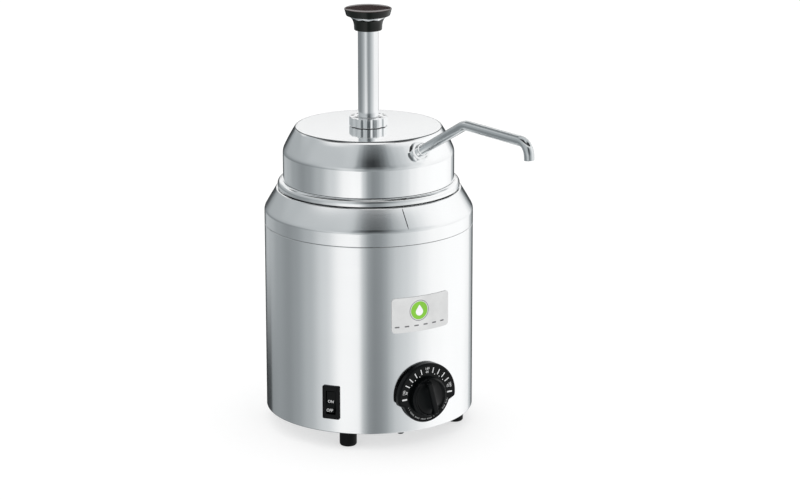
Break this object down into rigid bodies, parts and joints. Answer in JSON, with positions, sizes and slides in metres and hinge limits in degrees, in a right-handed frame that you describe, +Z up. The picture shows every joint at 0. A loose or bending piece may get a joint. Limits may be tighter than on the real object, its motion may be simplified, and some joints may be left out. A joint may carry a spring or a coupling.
{
  "type": "heated pump dispenser",
  "caption": "Round stainless food warmer with a drop-in jar, a lift-off lid with a push-down plunger pump, a bent spout, a dial and a rocker switch.",
  "frame": {"origin": "centre of the object's box, on the surface that its four feet stand on; the warmer's own vertical axis is 87.08 mm behind it, at +Y", "axes": "+Z up, the front with the badge, dial and spout faces -Y, +X to the right of someone facing the front"},
  "size_m": [0.2176, 0.3974, 0.4415],
  "materials": {
    "brushed_shell": "brushed stainless sheet, soft sheen",
    "polished_steel": "bright polished stainless",
    "tube_steel": "dull grey satin steel",
    "pump_steel": "satin stainless",
    "zinc_plate": "zinc-plated steel",
    "heater_metal": "dull aluminium and heater sheath",
    "brass": "satin brass and copper capillary",
    "black_plastic": "moulded black plastic, semi-gloss",
    "knob_plastic": "glossy brown-black moulded plastic",
    "white_plastic": "plain off-white engineering plastic",
    "badge": "satin light grey badge plate",
    "rubber": "matt black rubber"
  },
  "bodies": {
    "warmer": {"outer_shell": "brushed_shell", "shoulder_collar": "brushed_shell", "water_vessel": "brushed_shell", "heat_spreader": "heater_metal", "heating_element": "heater_metal", "element_clamp": "zinc_plate", "clamp_nut": "zinc_plate", "high_limit_cutout": "white_plastic", "thermostat_bulb": "brass", "capillary_tube": "brass", "base_plate": "zinc_plate", "foot_front_left": "rubber", "foot_front_right": "rubber", "foot_back_right": "rubber", "foot_back_left": "rubber", "foot_screw_front_left": "zinc_plate", "foot_screw_front_right": "zinc_plate", "foot_screw_back_right": "zinc_plate", "foot_screw_back_left": "zinc_plate", "base_screw_1": "zinc_plate", "base_screw_2": "zinc_plate", "base_screw_3": "zinc_plate", "terminal_block": "white_plastic", "cord_gland": "black_plastic", "gland_nut": "black_plastic", "badge_plate": "badge", "dial_plate": "black_plastic", "thermostat_body": "white_plastic", "switch_housing": "black_plastic"},
    "thermostat_dial": {"thermostat_knob": "black_plastic", "thermostat_spindle": "zinc_plate"},
    "rocker": {"switch_rocker": "black_plastic"},
    "jar": {"food_jar": "brushed_shell"},
    "lid": {"pump_lid": "polished_steel", "locking_nut": "polished_steel", "stem_bushing": "pump_steel", "pump_cylinder": "pump_steel", "valve_body": "pump_steel", "riser_tube": "tube_steel", "outlet_fitting": "pump_steel", "outlet_gasket": "white_plastic", "outlet_nut": "polished_steel", "spout_ferrule": "polished_steel", "spout_tube": "tube_steel", "return_spring": "tube_steel"},
    "plunger": {"knob_neck": "knob_plastic", "knob_cap": "knob_plastic", "plunger_tube": "polished_steel", "piston_head": "white_plastic", "piston_seal": "rubber", "seal_washer": "zinc_plate", "piston_nut": "zinc_plate"},
    "inlet_ball": {"inlet_check_ball": "tube_steel"},
    "outlet_ball": {"outlet_check_ball": "tube_steel"}
  },
  "joints": [
    {"name": "jar_lift", "type": "slide", "parent": "warmer", "child": "jar", "axis": [0, 0, 1], "range_m": [0, 0.2]},
    {"name": "lid_lift", "type": "slide", "parent": "jar", "child": "lid", "axis": [0, 0, 1], "range_m": [0, 0.2]},
    {"name": "plunger_press", "type": "slide", "parent": "lid", "child": "plunger", "axis": [0, 0, 1], "range_m": [-0.08, 0], "stiffness_N_per_m": 150, "springref_m": 0.06, "deforming": ["return_spring"]},
    {"name": "inlet_ball_lift", "type": "slide", "parent": "lid", "child": "inlet_ball", "axis": [0, 0, 1], "range_m": [0, 0.003]},
    {"name": "outlet_ball_lift", "type": "slide", "parent": "lid", "child": "outlet_ball", "axis": [0, 0, 1], "range_m": [0, 0.003]},
    {"name": "thermostat_turn", "type": "hinge", "parent": "warmer", "child": "thermostat_dial", "pos_m": [0.00276, -0.02989, 0.0557], "axis": [0.0236, -0.9997, 0], "range_deg": [-104, 76]},
    {"name": "switch_rock", "type": "hinge", "parent": "warmer", "child": "rocker", "pos_m": [-0.08203, 0.02065, 0.0505], "axis": [0.6293, -0.7771, 0], "range_deg": [0, 24]}
  ]
}
